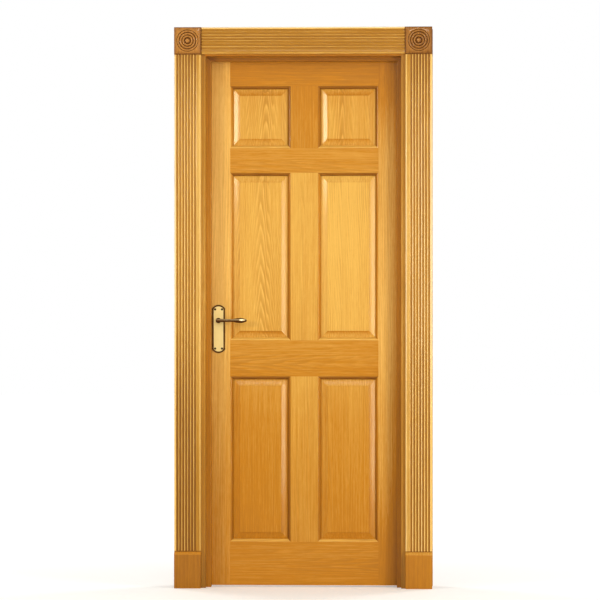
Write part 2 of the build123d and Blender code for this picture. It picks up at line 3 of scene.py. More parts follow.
import bpy
import numpy as np
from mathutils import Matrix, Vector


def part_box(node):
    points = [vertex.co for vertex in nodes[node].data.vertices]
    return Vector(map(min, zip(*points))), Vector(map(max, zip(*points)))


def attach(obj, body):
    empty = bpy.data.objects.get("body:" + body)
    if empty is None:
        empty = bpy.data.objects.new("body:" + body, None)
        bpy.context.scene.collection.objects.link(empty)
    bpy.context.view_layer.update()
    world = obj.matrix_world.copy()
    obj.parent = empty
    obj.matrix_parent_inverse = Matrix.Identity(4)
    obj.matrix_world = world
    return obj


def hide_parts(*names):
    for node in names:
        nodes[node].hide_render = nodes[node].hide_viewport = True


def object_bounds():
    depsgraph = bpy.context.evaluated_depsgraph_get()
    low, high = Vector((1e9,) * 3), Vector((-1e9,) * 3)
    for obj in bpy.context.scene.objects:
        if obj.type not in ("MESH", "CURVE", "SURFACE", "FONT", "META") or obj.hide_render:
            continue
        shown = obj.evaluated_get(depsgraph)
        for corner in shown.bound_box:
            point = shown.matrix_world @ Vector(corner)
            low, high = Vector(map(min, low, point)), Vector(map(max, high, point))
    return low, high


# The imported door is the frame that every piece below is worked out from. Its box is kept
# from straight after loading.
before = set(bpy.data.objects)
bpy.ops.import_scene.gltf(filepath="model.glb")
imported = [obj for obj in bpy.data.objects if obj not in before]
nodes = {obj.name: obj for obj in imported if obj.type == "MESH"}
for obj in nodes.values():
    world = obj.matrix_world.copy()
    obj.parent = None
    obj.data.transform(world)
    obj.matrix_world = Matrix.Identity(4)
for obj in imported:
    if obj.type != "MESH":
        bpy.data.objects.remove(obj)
cad_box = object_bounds()
scene = bpy.context.scene


# The camera stands well back and a little to the right of the door, level with its middle,
# so that uprights stay upright and slightly more of the left reveal shows than of the right.
LEAF_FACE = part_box("stile_latch_side")[0][1]
EYE = (0.65, -15.0, 1.077)
AIM = (-0.016, LEAF_FACE, 1.077)
SENSOR = 36.0
PICTURE = 600
METRES_PER_PIXEL = 0.003758

eye_to_aim = np.subtract(AIM, EYE)
camera_data = bpy.data.cameras.new("door_camera")
camera_data.sensor_width = SENSOR
camera_data.lens = SENSOR * float(np.linalg.norm(eye_to_aim)) / (PICTURE * METRES_PER_PIXEL)
camera_data.clip_end = 100.0
camera = bpy.data.objects.new("door_camera", camera_data)
camera.location = EYE
camera.rotation_euler = (math.pi / 2, 0.0, math.atan2(-eye_to_aim[0], eye_to_aim[1]))
scene.collection.objects.link(camera)
scene.camera = camera
scene.view_settings.view_transform = "Standard"


# Shader maths is written as expressions on readings: a Reading is one socket with arithmetic,
# and a Finish is one material with a single Principled surface that readings are fed to.
class Reading:
    """A value that varies over a surface, with the arithmetic of plain numbers."""

    def __init__(self, finish, socket):
        self.finish = finish
        self.socket = socket

    def maths(self, operation, *values):
        sockets = {index: value for index, value in enumerate(values)}
        return self.finish.node("ShaderNodeMath", {"operation": operation}, sockets)

    def __add__(self, other):
        return self.maths("ADD", self, other)

    def __radd__(self, other):
        return self.maths("ADD", other, self)

    def __sub__(self, other):
        return self.maths("SUBTRACT", self, other)

    def __rsub__(self, other):
        return self.maths("SUBTRACT", other, self)

    def __mul__(self, other):
        return self.maths("MULTIPLY", self, other)

    def root(self):
        return self.maths("SQRT", self)

    def size(self):
        return self.maths("ABSOLUTE", self)

    def part(self):
        """What is left after the whole number, from 0 to 1."""
        return self.maths("FRACT", self)

    def rise(self, low, high, start=0.0, end=1.0):
        """A soft step from start to end as the reading goes from low to high."""
        settings = {"interpolation_type": "SMOOTHSTEP"}
        ends = {"From Min": low, "From Max": high, "To Min": start, "To Max": end}
        return self.finish.node("ShaderNodeMapRange", settings, {"Value": self, **ends})


class Finish:
    """A material: one Principled surface, and the nodes that feed it."""

    def __init__(self, name, **constants):
        self.material = bpy.data.materials.new(name)
        self.material.use_nodes = True
        self.tree = self.material.node_tree
        self.surface = self.tree.nodes["Principled BSDF"]
        for socket, value in constants.items():
            self.surface.inputs[socket.replace("_", " ")].default_value = value

    def node(self, kind, settings, sockets, output=0):
        """Adds a node, sets it up, feeds its sockets, and reads one of its outputs."""
        node = self.tree.nodes.new(kind)
        for key, value in settings.items():
            if key == "stops":
                self.set_stops(node.color_ramp, value)
            else:
                setattr(node, key, value)
        for key, value in sockets.items():
            self.feed(node.inputs[key], value)
        return Reading(self, node.outputs[output])

    def set_stops(self, ramp, stops):
        """Gives a ramp its stops, a place and a grey each."""
        while len(ramp.elements) < len(stops):
            ramp.elements.new(0.5)
        for element, (place, value) in zip(ramp.elements, stops):
            element.position = place
            element.color = (value, value, value, 1.0)

    def feed(self, socket, value):
        if isinstance(value, Reading):
            self.tree.links.new(value.socket, socket)
        else:
            socket.default_value = value

    def wear(self, **readings):
        """Feeds readings to the surface's own sockets."""
        for socket, value in readings.items():
            self.feed(self.surface.inputs[socket.replace("_", " ")], value)

    def parts(self, vector):
        """The three readings of a vector."""
        return [self.node("ShaderNodeSeparateXYZ", {}, {0: vector}, axis) for axis in range(3)]

    def point(self):
        """The three readings of a place on the object, in metres."""
        return self.parts(self.node("ShaderNodeTexCoord", {}, {}, "Object"))

    def attribute(self, name):
        """The three readings of a vector that the mesh carries."""
        return self.parts(self.node("ShaderNodeAttribute", {"attribute_name": name}, {}, "Vector"))

    def cloud(self, x, y, z, detail, rough=0.5):
        """Soft noise from 0 to 1 at three readings."""
        place = self.node("ShaderNodeCombineXYZ", {}, {0: x, 1: y, 2: z})
        sockets = {"Vector": place, "Scale": 1.0, "Detail": detail, "Roughness": rough}
        return self.node("ShaderNodeTexNoise", {}, sockets, "Fac")

    def blend(self, amount, first, second):
        """A mix of two colours: the first at amount 0, the second at 1."""
        sockets = {0: amount, 6: first, 7: second}
        return self.node("ShaderNodeMix", {"data_type": "RGBA"}, sockets, 2)

    def bump(self, height, depth, strength):
        """A normal pushed about by a height, at its full depth in metres."""
        sockets = {"Height": height, "Distance": depth, "Strength": strength}
        return self.node("ShaderNodeBump", {}, sockets)


# The studio: a pale floor that takes the door's shadow, a white surround, lamps in front and
# high at the sides, an amber strip at each side that the varnished bevels and flutes pick up,
# and two lamps behind for the back of the door.
WARM_WHITE = (1.0, 0.98, 0.95)
AMBER_WHITE = (1.0, 0.92, 0.70)
SURROUND_LIGHT = 0.28
FLOOR_HALF = 30.0
FLOOR_NEAR, FLOOR_FAR = 0.9, 3.6
FLOOR_COLOUR = (0.82, 0.82, 0.81, 1.0)
FLOOR_GLOW = (0.24, 0.24, 0.24, 1.0)
WHITE, BLACK = (1.0, 1.0, 1.0, 1.0), (0.0, 0.0, 0.0, 1.0)


def lamp(name, place, aim, width, height, watts, colour=WARM_WHITE):
    """A rectangular lamp at a place, turned to face a point."""
    data = bpy.data.lights.new(name, "AREA")
    data.shape = "RECTANGLE"
    data.size = width
    data.size_y = height
    data.energy = watts
    data.color = colour
    thing = bpy.data.objects.new(name, data)
    away = np.subtract(place, aim)
    flat = math.hypot(away[0], away[1])
    thing.location = place
    thing.rotation_euler = (math.atan2(flat, away[2]), 0.0, math.atan2(away[0], -away[1]))
    scene.collection.objects.link(thing)


lamp("lamp_front", (0.7, -6.0, 3.05), (0.0, 0.0, 1.0), 0.9, 0.6, 35.0)
lamp("lamp_above", (-0.15, -3.0, 3.0), (0.0, 0.0, 0.8), 0.8, 0.4, 7.0)
lamp("lamp_high_left", (-1.9, -3.9, 3.9), (0.0, 0.0, 1.2), 2.0, 1.4, 22.0)
lamp("lamp_high_right", (3.1, -2.9, 3.6), (0.0, 0.0, 1.2), 1.8, 1.4, 41.0)
lamp("strip_left", (-2.8, -3.1, 1.87), (-0.2, 0.0, 1.75), 0.74, 0.5, 56.0, AMBER_WHITE)
lamp("strip_right", (2.4, -3.2, 0.9), (0.2, 0.0, 0.8), 0.68, 1.47, 57.0, AMBER_WHITE)
lamp("lamp_behind_left", (2.9, 3.4, 3.8), (0.0, 0.0, 1.1), 1.5, 1.2, 90.0)
lamp("lamp_behind_right", (-2.9, 3.4, 3.8), (0.0, 0.0, 1.1), 1.5, 1.2, 90.0)

world = bpy.data.worlds.new("studio")
world.use_nodes = True
scene.world = world
sky = world.node_tree
seen = sky.nodes.new("ShaderNodeLightPath")
strength = sky.nodes.new("ShaderNodeMapRange")
strength.inputs["To Min"].default_value = SURROUND_LIGHT
strength.inputs["To Max"].default_value = 1.0
brighter = seen.outputs["Is Camera Ray"]
for ray in ("Is Glossy Ray", "Is Transmission Ray"):
    either = sky.nodes.new("ShaderNodeMath")
    either.operation = "MAXIMUM"
    sky.links.new(brighter, either.inputs[0])
    sky.links.new(seen.outputs[ray], either.inputs[1])
    brighter = either.outputs[0]
sky.links.new(brighter, strength.inputs["Value"])
sky.links.new(strength.outputs[0], sky.nodes["Background"].inputs["Strength"])
sky.nodes["Background"].inputs["Color"].default_value = WHITE

floor_mesh = bpy.data.meshes.new("floor")
corners = [(x * FLOOR_HALF, y * FLOOR_HALF, 0.0) for x, y in ((-1, -1), (1, -1), (1, 1), (-1, 1))]
floor_mesh.from_pydata(corners, [], [(0, 1, 2, 3)])
floor = bpy.data.objects.new("floor", floor_mesh)
scene.collection.objects.link(floor)
floor_finish = Finish("pale_floor", Roughness=0.7, Emission_Strength=1.0)
floor_x, floor_y = floor_finish.point()[:2]
floor_far = (floor_x * floor_x + floor_y * floor_y).root().rise(FLOOR_NEAR, FLOOR_FAR)
floor_seen = floor_finish.node("ShaderNodeLightPath", {}, {}, "Is Camera Ray")
floor_glow = floor_finish.blend(floor_far, FLOOR_GLOW, WHITE)
floor_finish.wear(
    Base_Color=floor_finish.blend(floor_far * floor_seen, FLOOR_COLOUR, BLACK),
    Emission_Color=floor_finish.blend(floor_seen, BLACK, floor_glow),
)
floor_mesh.materials.append(floor_finish.material)


# All the timber is oak under a honey-coloured satin varnish. Its colour is paler in the middle
# of the door, where a painted pool of light and a painted sheen lie, and deeper towards the foot
# and the head, where painted shade lies. Boards are sawn from logs, so the year rings run along
# them, straight near an edge and in tall arches over the heart.
PALE_OAK = (0.775, 0.455, 0.095, 1.0)
DEEP_OAK = (0.525, 0.205, 0.011, 1.0)
LATE_OAK = (1.0, 0.64, 0.19, 1.0)
PAINTED_HIGHLIGHT_OAK = (0.95, 0.80, 0.58, 1.0)
DARK_OAK = (0.24, 0.085, 0.008, 1.0)
RING_OAK = (0.40, 0.16, 0.014, 1.0)
DOOR_OAK = (PALE_OAK, DEEP_OAK, DARK_OAK)
RINGS_PER_METRE = 150.0
HEART_DEPTH = 0.026
DRIFT, RIPPLE, CROWDING = 0.022, 0.004, 0.3
DRIFT_RINGS, SEASON_RINGS = 3.0, 4.5
HEART_LINES, PLAIN_LINES = 1.35, 0.75
PATCHES, STREAKS, FLECKS = 0.45, 0.95, 0.55
LATE_LINES, RING_LINES, PORE_MARKS = 0.6, 0.5, 0.3
PORE_DEPTH, PORE_STRENGTH = 0.00022, 0.6
DOOR_HEIGHT = float(cad_box[1][2])
# Depth of colour by share of the door's height: painted light in the middle, painted shade low and
# high.
PAINTED_LIGHT_UP_THE_DOOR = [
    (0.0, 0.86), (0.3, 0.60), (0.47, 0.16), (0.62, 0.02), (0.84, 0.08), (0.95, 0.38)
]

# Where within a year ring, from 0 to 1, the early and late wood come and go; how far from the
# heart its lines fade; and the part of the noise that gives strong rings and open pores.
EARLY_IN, EARLY_OUT = (0.0, 0.12), (0.2, 0.95, 1.0, 0.0)
LATE_IN, LATE_OUT = (0.66, 0.9), (0.95, 1.0, 1.0, 0.0)
HEART_BAND, STRONG_BAND, PORE_BAND = (0.006, 0.04), (0.3, 0.75), (0.56, 0.72)

# Cycles of noise in a metre along a board, across it and into it, which of the three a board's
# lot moves, and the noise's detail and roughness.
OAK_NOISE = {
    "drift": (1.3, 5.0, 5.0, 0, 1.0, 0.5),
    "ripple": (7.0, 26.0, 26.0, 1, 2.0, 0.5),
    "crowding": (2.6, 0.0, 0.0, 0, 1.0, 0.5),
    "seasons": (0.6, 34.0, 34.0, 2, 1.0, 0.5),
    "strength": (1.7, 14.0, 1.0, 2, 2.0, 0.5),
    "streak": (3.2, 190.0, 190.0, 0, 3.0, 0.6),
    "fleck": (26.0, 250.0, 250.0, 1, 2.0, 0.6),
    "pores": (55.0, 1500.0, 1500.0, 1, 1.0, 0.5),
    "patch": (1.1, 7.0, 7.0, 1, 2.0, 0.5),
}


def oak(finish, along, across, depth, heart, arch, lot, deeper, shades=DOOR_OAK):
    """Oak from a board's own coordinates: distance from the heart, distorted by slow noise,
    gives the year rings; arch is how many rings pass per metre of length, here crowded and
    there far apart; lot moves the noise; deeper adds to the depth of colour and carries painted
    light and shade, and below 0 it turns to a pale painted highlight."""

    def noise(kind):
        """Noise from 0 to 1 at this place on the board."""
        *rates, moved, detail, rough = OAK_NOISE[kind]
        places = [reading * rate for reading, rate in zip((along, across, depth), rates)]
        places[moved] = places[moved] + lot
        return finish.cloud(*places, detail, rough)

    drift = noise("drift") - 0.5
    sideways = across - heart + drift * DRIFT + (noise("ripple") - 0.5) * RIPPLE
    crowding = along + (noise("crowding") - 0.5) * CROWDING
    ring = (sideways * sideways + HEART_DEPTH ** 2).root() * RINGS_PER_METRE + crowding * arch
    phase = (ring + drift * DRIFT_RINGS + noise("seasons") * SEASON_RINGS).part()
    by_heart = sideways.size().rise(*HEART_BAND, HEART_LINES, PLAIN_LINES)
    early = phase.rise(*EARLY_IN) * phase.rise(*EARLY_OUT)
    late = phase.rise(*LATE_IN) * phase.rise(*LATE_OUT) * (by_heart - PLAIN_LINES)
    rings = early * (0.25 + noise("strength").rise(*STRONG_BAND) * 0.75) * by_heart
    pores = noise("pores").rise(*PORE_BAND) * (0.35 + early * 0.65)
    streak = noise("streak")
    worn = (noise("patch") - 0.5) * PATCHES + (streak - 0.5) * STREAKS
    depth_of_colour = deeper + worn + (noise("fleck") - 0.5) * FLECKS
    body = finish.blend(depth_of_colour, shades[0], shades[1])
    body = finish.blend(depth_of_colour - 1.0, body, shades[2])
    # Painted highlight: where deeper falls below 0 the colour turns pale.
    body = finish.blend(deeper * -1.0, body, PAINTED_HIGHLIGHT_OAK)
    body = finish.blend(late * (0.75 - depth_of_colour) * LATE_LINES, body, LATE_OAK)
    body = finish.blend(rings * RING_LINES, body, RING_OAK)
    body = finish.blend(pores * PORE_MARKS, body, RING_OAK)
    relief = 1.0 - pores * 0.8 - rings * 0.3 + streak * 0.25
    finish.wear(
        Base_Color=body,
        Roughness=0.36 + pores * 0.18 + streak * 0.06,
        Normal=finish.bump(relief, PORE_DEPTH, PORE_STRENGTH),
    )


def depth_with_painted_light(finish, height, more):
    """Depth of colour at a height on the door, which paints light in the middle and shade
    towards the foot and the head, and a little more or less.
    """
    share = height * (1.0 / DOOR_HEIGHT)
    ramp = finish.node("ShaderNodeValToRGB", {"stops": PAINTED_LIGHT_UP_THE_DOOR}, {0: share})
    return finish.node("ShaderNodeSeparateColor", {}, {0: ramp}) + more


STICKING = 0.011
VARNISH = {"Specular_IOR_Level": 0.05, "Coat_Weight": 0.28, "Coat_Roughness": 0.13}


def oak_worked(name, shades):
    """Oak for pieces that carry their own board coordinates and figure as attributes."""
    finish = Finish(name, **VARNISH)
    along, across, depth = finish.attribute("grain")
    arch, lot, more = finish.attribute("figure")
    z = finish.point()[2]
    oak(finish, along, across, depth, 0.0, arch, lot, depth_with_painted_light(finish, z, more), shades)
    return finish.material


OAK = oak_worked("oak_worked", DOOR_OAK)


# The stiles and linings are planed boards, morticed and rebated for the hardware. They are the
# solids themselves, given their oak; so are the fittings further on.
def dress(node, material):
    """Gives a solid its finish."""
    thing = nodes[node]
    if not thing.material_slots:
        thing.data.materials.append(None)
    for holder in thing.material_slots:
        holder.link = "OBJECT"
        holder.material = material


TONGUE_REACH = 0.010
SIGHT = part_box("panel_middle_latch_side")[0][0] + TONGUE_REACH
STILE_HALF = -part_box("stile_latch_side")[0][0]
STILE_EDGE = 0.045
HEIGHT_BAND, FOOT_BAND, HEAD_BAND = (0.4, 1.9), (0.12, 0.6), (1.55, 1.95)
UPRIGHT_ARCH = 3.0
# The stiles' first shade is paler and milkier than the door's: partly their own tone, partly a
# painted sheen.
STILE_SHADES_WITH_SHEEN = ((0.86, 0.52, 0.135, 1.0), DEEP_OAK, DARK_OAK)
CASING_SHADES = ((0.90, 0.58, 0.17, 1.0), (0.48, 0.228, 0.028, 1.0), (0.22, 0.085, 0.012, 1.0))


def oak_upright(name, foot, head, heart, lot, shades, edge=0.0, moulded=0.0, ends=0.0):
    """Oak for a stile or lining, read from its place, with painted shade: deeper by foot low
    down and by head high up, and on a stile also by edge towards its outer edge, where the
    casing's shadow is painted, by moulded on the moulding beside the panels, and by ends near
    both ends."""
    finish = Finish(name, **VARNISH)
    x, y, z = finish.point()
    more = z.rise(*HEIGHT_BAND, foot, head)
    if moulded:
        more = more + z.rise(*FOOT_BAND, ends, 0.0) + z.rise(*HEAD_BAND, 0.0, ends)
        from_middle = x.size()
        more = more + from_middle.rise(STILE_HALF - STILE_EDGE, STILE_HALF, 0.0, edge)
        more = more + from_middle.rise(-SIGHT + STICKING * 0.5, -SIGHT + STICKING, moulded, 0.0)
    oak(finish, z, x, y, heart, UPRIGHT_ARCH, lot, depth_with_painted_light(finish, z, more), shades)
    return finish.material


# For each stile: painted light and shade at its foot and its head, where its heart lies, its lot,
# and painted shade at its outer edge and on its moulding.
STILE_LATCH = {"foot": 0.0, "head": 0.16, "heart": 0.52, "lot": 3.1, "edge": 0.15, "moulded": 0.7}
STILE_HINGE = {"foot": -0.1, "head": 0.5, "heart": 0.16, "lot": 5.7, "edge": 0.75, "moulded": 0.9}
stile_oak = oak_upright("oak_stile_latch", shades=STILE_SHADES_WITH_SHEEN, **STILE_LATCH)
dress("stile_latch_side", stile_oak)
stile_oak = oak_upright("oak_stile_hinge", shades=STILE_SHADES_WITH_SHEEN, ends=0.45, **STILE_HINGE)
dress("stile_hinge_side", stile_oak)
# The linings are darker than the casings, and more so upwards: painted shade where the casings
# shadow them.
lining_oak = oak_upright("oak_lining", 0.55, 0.98, heart=0.75, lot=21.0, shades=CASING_SHADES)
dress("lining_latch_side", lining_oak)
dress("lining_hinge_side", lining_oak)
# The head lining is darker still: painted shade under the head casing.
head_finish = Finish("oak_lining_head", **VARNISH)
head_x, head_y, head_z = head_finish.point()
deeper = depth_with_painted_light(head_finish, head_z, 1.05)
oak(head_finish, head_x, head_z, head_y, heart=2.4, arch=2.0, lot=27.0, deeper=deeper)
dress("lining_head", head_finish.material)


# A made piece: its points and faces go into a mesh at the origin, it rides on a body, stands
# for its solid, and takes its finish. It carries as attributes its grain, and its rings, lot
# and depth of colour, which holds painted light and shade: an ARCH below is rings per metre
# of length, a LOT the step to the next board's place in the noise.
SMOOTH_UNDER = 32.0
FIRST_LOT = 40.0


def make(name, body, stands_for, points, faces, material, grain, figure, smooth=SMOOTH_UNDER):
    """A mesh piece from an array of points and lists of faces, smooth where its faces meet at
    less than an angle in degrees. Besides its grain it carries rings per metre of length, the
    board's lot, and how much deeper its colour is, painted light and shade included: one
    number, or one for each point or each face."""
    mesh = bpy.data.meshes.new(name)
    mesh.from_pydata(points.tolist(), [], faces)
    mesh.update()
    grain_layer = mesh.attributes.new("grain", "FLOAT_VECTOR", "POINT")
    grain_layer.data.foreach_set("vector", np.ascontiguousarray(grain, np.float32).ravel())
    by_face = np.size(figure[2]) not in (1, len(points))
    figure_layer = mesh.attributes.new("figure", "FLOAT_VECTOR", "FACE" if by_face else "POINT")
    spread = np.zeros((len(faces) if by_face else len(points), 3), np.float32)
    for column, value in enumerate(figure):
        spread[:, column] = value
    figure_layer.data.foreach_set("vector", spread.ravel())
    mesh.shade_smooth()
    mesh.set_sharp_from_angle(angle=math.radians(smooth))
    mesh.materials.append(material)
    thing = bpy.data.objects.new(name, mesh)
    scene.collection.objects.link(thing)
    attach(thing, body)
    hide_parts(*stands_for)


def bend(centre, radius, start, end, steps):
    """Points of an arc about a centre, from one angle to another in degrees."""
    angle = np.radians(np.linspace(start, end, steps))
    return np.stack([centre[0] + radius * np.cos(angle), centre[1] + radius * np.sin(angle)], 1)


def shrink(section, amount):
    """A closed outline moved inwards: each point goes along the mean of its two edge normals."""
    edge = np.roll(section, -1, 0) - section
    edge /= np.linalg.norm(edge, axis=1, keepdims=True)
    normal = np.stack([edge[:, 1], -edge[:, 0]], 1)
    before = np.roll(normal, 1, 0)
    mean = (normal + before) / (1.0 + np.sum(normal * before, 1, keepdims=True))
    return section - amount * mean


def grid_faces(rows, columns):
    """Quads between the rows of a grid whose columns close on themselves."""
    row, column = np.meshgrid(np.arange(rows - 1), np.arange(columns), indexing="ij")
    here = row * columns + column
    beside = row * columns + (column + 1) % columns
    return np.stack([here, beside, beside + columns, here + columns], -1).reshape(-1, 4).tolist()


END_BAND = 0.004


def carried(section, low, high, ease_width=0.0):
    """A closed anticlockwise outline carried from low to high, its ends capped and, where a
    width is given, eased, with a row of points just inside them. low and high may differ from
    point to point, as at a mitre or cope."""
    count = len(section)
    low = np.broadcast_to(low, count)
    high = np.broadcast_to(high, count)
    rows = [(section, low), (section, high)]
    if ease_width:
        small = shrink(section, ease_width)
        rows = [(small, low), (section, low + ease_width), (section, low + END_BAND)]
        rows += [(section, high - END_BAND), (section, high - ease_width), (small, high)]
    points = np.concatenate([np.column_stack(row) for row in rows])
    faces = grid_faces(len(rows), count)
    faces.append(list(range(count))[::-1])
    last = (len(rows) - 1) * count
    faces.append([last + index for index in range(count)])
    return points, faces


def near_ends(run, amount):
    """Painted shadow at the very ends of a piece, where it meets its neighbours: how much
    deeper the colour is there, for each point of its run."""
    return np.where(np.minimum(run - run.min(), run.max() - run) < END_BAND * 0.5, amount, 0.0)


def placed(local, box, across, proud):
    """Local points laid along across, proud and the run square to both, from the corner of a
    box that all three lead away from."""
    axes = np.array([across, proud, np.cross(across, proud)], float)
    return local @ axes + np.where(axes.sum(0) > 0, *np.array(box))


# Fluted casings are machined oak boards planted over the joint between lining and wall: an
# outer arris, seven flutes, and a flat that ends in a rounded edge beside the opening.
FLUTES = 7
FLUTE_PITCH = 0.011
FIRST_FLUTE = 0.012
FLUTE_WIDTH = 0.0084
FLUTE_DEPTH = 0.0034
FLUTE_ARRIS = 0.0005
FLUTE_REACH = 0.94
CASING_ROUND = 0.006
CASING_STEP = 0.0012
OUTER_ARRIS = 0.002
EASE = 0.0006


def casing_outline(width, thickness):
    """Outline of a casing, outer edge at 0: flutes are arcs sunk in the face, which stop just
    short of its small arrises, and the inner edge is a quarter round below a small step."""
    radius = ((FLUTE_WIDTH / 2) ** 2 + FLUTE_DEPTH ** 2) / (2 * FLUTE_DEPTH)
    half = math.degrees(math.asin(FLUTE_WIDTH / 2 / radius)) * FLUTE_REACH
    inner = width - CASING_ROUND
    low = thickness - CASING_STEP - CASING_ROUND
    parts = [np.array([[0.0, 0.0], [width - EASE, 0.0], [width, EASE]])]
    parts.append(bend((inner, low), CASING_ROUND, 0.0, 90.0, 9))
    parts.append(np.array([[inner, thickness - EASE], [inner - EASE, thickness]]))
    for index in reversed(range(FLUTES)):
        centre = (FIRST_FLUTE + index * FLUTE_PITCH, thickness - FLUTE_DEPTH + radius)
        parts.append(np.array([[centre[0] + FLUTE_WIDTH / 2 + FLUTE_ARRIS, thickness]]))
        parts.append(bend(centre, radius, -90.0 + half, -90.0 - half, 11))
        parts.append(np.array([[centre[0] - FLUTE_WIDTH / 2 - FLUTE_ARRIS, thickness]]))
    parts.append(bend((OUTER_ARRIS, thickness - OUTER_ARRIS), OUTER_ARRIS, 90.0, 180.0, 5))
    return np.concatenate(parts)


CASING_OAK = oak_worked("oak_casing", CASING_SHADES)
CASING_ARCH, CASING_LOT = 3.0, 5.3
HEART_BESIDE = 0.1
CASING_END_EASE = 0.0003
# Painted highlight on the face and on the rounded inner edge, painted shadow in the joints; the
# streaks are the boards' own tone.
FACE_SHADE, ROUND_SHADE, JOINT_SHADE = -0.08, -0.1, 2.6
STREAK_SHADE, STREAK_RATE, STREAK_PHASE = 0.16, 730.0, 9.0
# For each casing: painted shade in the flutes, the flat's depth of colour, painted light and shade
# at the foot and the head, and the painted highlight on the outer arris.
CASING_PAINTED_LIGHT_AND_SHADE = {
    "latch_side": {"fluting": 1.55, "flat": 0.5, "foot": -0.14, "head": 0.12, "painted_light": 1.1},
    "hinge_side": {"fluting": 2.0, "flat": 0.85, "foot": -0.9, "head": 0.0, "painted_light": 0.5},
    "head": {"fluting": 0.65, "flat": 0.45, "foot": 0.52, "head": 0.52, "painted_light": 1.2},
}


def casing_shade(local, width, thickness, height, varnish):
    """Painted shade lies deeper down in the flutes and at the joints, the flat is darker, and
    painted highlights lie on the outer arris and on the rounded inner edge; the painted shade
    changes with height, and the tone also varies from flute to flute."""
    inside, below = local[:, 0], thickness - local[:, 1]
    inner = width - CASING_ROUND
    last_ridge = FIRST_FLUTE + (FLUTES - 1) * FLUTE_PITCH + FLUTE_WIDTH / 2
    outer = (inside < OUTER_ARRIS * 2) & (below < OUTER_ARRIS * 1.5)
    fluted = (inside > OUTER_ARRIS * 2) & (inside < inner - EASE * 2)
    flat = (inside > last_ridge) & (inside < inner - EASE / 2)
    rounded = (inside > inner + EASE) & (below < CASING_ROUND)
    sunk = np.clip(below / FLUTE_DEPTH, 0.0, 1.0) ** 0.8
    shade = np.where(fluted, FACE_SHADE + varnish["fluting"] * sunk, FACE_SHADE)
    shade = np.where(flat, varnish["flat"], shade)
    shade = shade + STREAK_SHADE * np.sin(inside * STREAK_RATE + width * STREAK_PHASE)
    more = varnish["foot"] + (varnish["head"] - varnish["foot"]) * height / DOOR_HEIGHT
    shade = np.where(rounded, ROUND_SHADE, shade) + more
    return np.where(outer, -varnish["painted_light"], shade) + near_ends(local[:, 2], JOINT_SHADE)


FACES = {"front": -1, "rear": 1}
SIDES = ("latch", "hinge")
INWARDS = {"latch_side": (1.0, 0.0, 0.0), "hinge_side": (-1.0, 0.0, 0.0), "head": (0.0, 0.0, -1.0)}
lot = FIRST_LOT
for face_name, face in FACES.items():
    for place, across in INWARDS.items():
        node = "casing_" + face_name + "_" + place
        low, high = np.array(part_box(node))
        proud = (0.0, float(face), 0.0)
        run = np.abs(np.cross(across, proud))
        width, thickness, length = (high - low) @ np.array([np.abs(across), np.abs(proud), run]).T
        outline = casing_outline(width, thickness)
        local, faces = carried(outline, 0.0, length, CASING_END_EASE)
        points = placed(local, (low, high), across, proud)
        lot += CASING_LOT
        grain = np.column_stack([points @ run, local[:, 0] + HEART_BESIDE, local[:, 1]])
        shade = casing_shade(local, width, thickness, points[:, 2], CASING_PAINTED_LIGHT_AND_SHADE[place])
        figure = (CASING_ARCH, lot, shade)
        name = node.replace("casing", "fluted")
        make(name, "frame", [node], points, faces, CASING_OAK, grain, figure)


# Corner blocks are squares of oak with a rosette turned into the face: three round rings
# about a domed button with a dimple, sunk so that the rings end level with the block.
ROSETTE_RADIUS = 0.041
ROSETTE_DEPTH = 0.006
RING_EDGES = (0.012, 0.021, 0.031, ROSETTE_RADIUS)
RING_RISE = 0.0052
DIMPLE_DEPTH, DIMPLE_RADIUS = 0.0011, 0.0021
LIP = ((0.0001, -0.0005), (0.0006, 0.0))
FACE_BEGINS = ROSETTE_RADIUS + 0.001
BLOCK_ARRIS = 0.0015
BLOCK_ARCH, BLOCK_LOT, BLOCK_HEART = 4.0, 3.7, 0.12
BLOCK_MORE = {"latch": 1.22, "hinge": 1.46}
# Painted shade in the rosette's grooves, a painted highlight on its rings, and painted shadow at
# the block's joints.
GROOVE_SHADE, RING_SHADE, BLOCK_JOINT_SHADE = 3.6, -0.6, 1.5
BLOCK_SHADES = (PALE_OAK, (0.47, 0.2, 0.04, 1.0), (0.14, 0.048, 0.01, 1.0))
BLOCK_OAK = oak_worked("oak_block", BLOCK_SHADES)
ROSETTE_TURNS = 128


def rosette_profile():
    """Radius and height above the block's face from the centre out: a dome that falls with
    radius ** 2.4, less a dimple shaped like a bell, then per ring a half round that rises as
    the sine of its turn ** 0.8, with a narrow groove between neighbours."""
    radius = np.linspace(0.0, RING_EDGES[0], 12)
    dome = ROSETTE_DEPTH * (1.0 - (radius / RING_EDGES[0]) ** 2.4)
    dimple = DIMPLE_DEPTH * np.exp(-((radius / DIMPLE_RADIUS) ** 2))
    rows = [np.stack([radius, dome - dimple], 1)]
    for inner, outer in zip(RING_EDGES, RING_EDGES[1:]):
        turn = np.linspace(0.0, math.pi, 10)[1:]
        middle, half = (inner + outer) / 2, (outer - inner) / 2
        rows.append(np.stack([middle - half * np.cos(turn), RING_RISE * np.sin(turn) ** 0.8], 1))
    profile = np.concatenate(rows)
    profile[:, 1] -= ROSETTE_DEPTH
    return profile


def block_shade(local):
    """Painted shade deep between the rings, a painted highlight on their tops, and painted
    shadow in the joints beside the block.
    """
    radius = np.hypot(local[:, 0], local[:, 1])
    sunk = np.clip(-local[:, 2] / ROSETTE_DEPTH, 0.0, 1.0)
    turned = GROOVE_SHADE * sunk ** 1.6 + RING_SHADE
    near = (local[:, 2] < -BLOCK_ARRIS * 0.2) & (local[:, 2] > -BLOCK_ARRIS * 2.5)
    joint = np.where(near, BLOCK_JOINT_SHADE, 0.0)
    return np.where(radius < FACE_BEGINS, turned, joint)


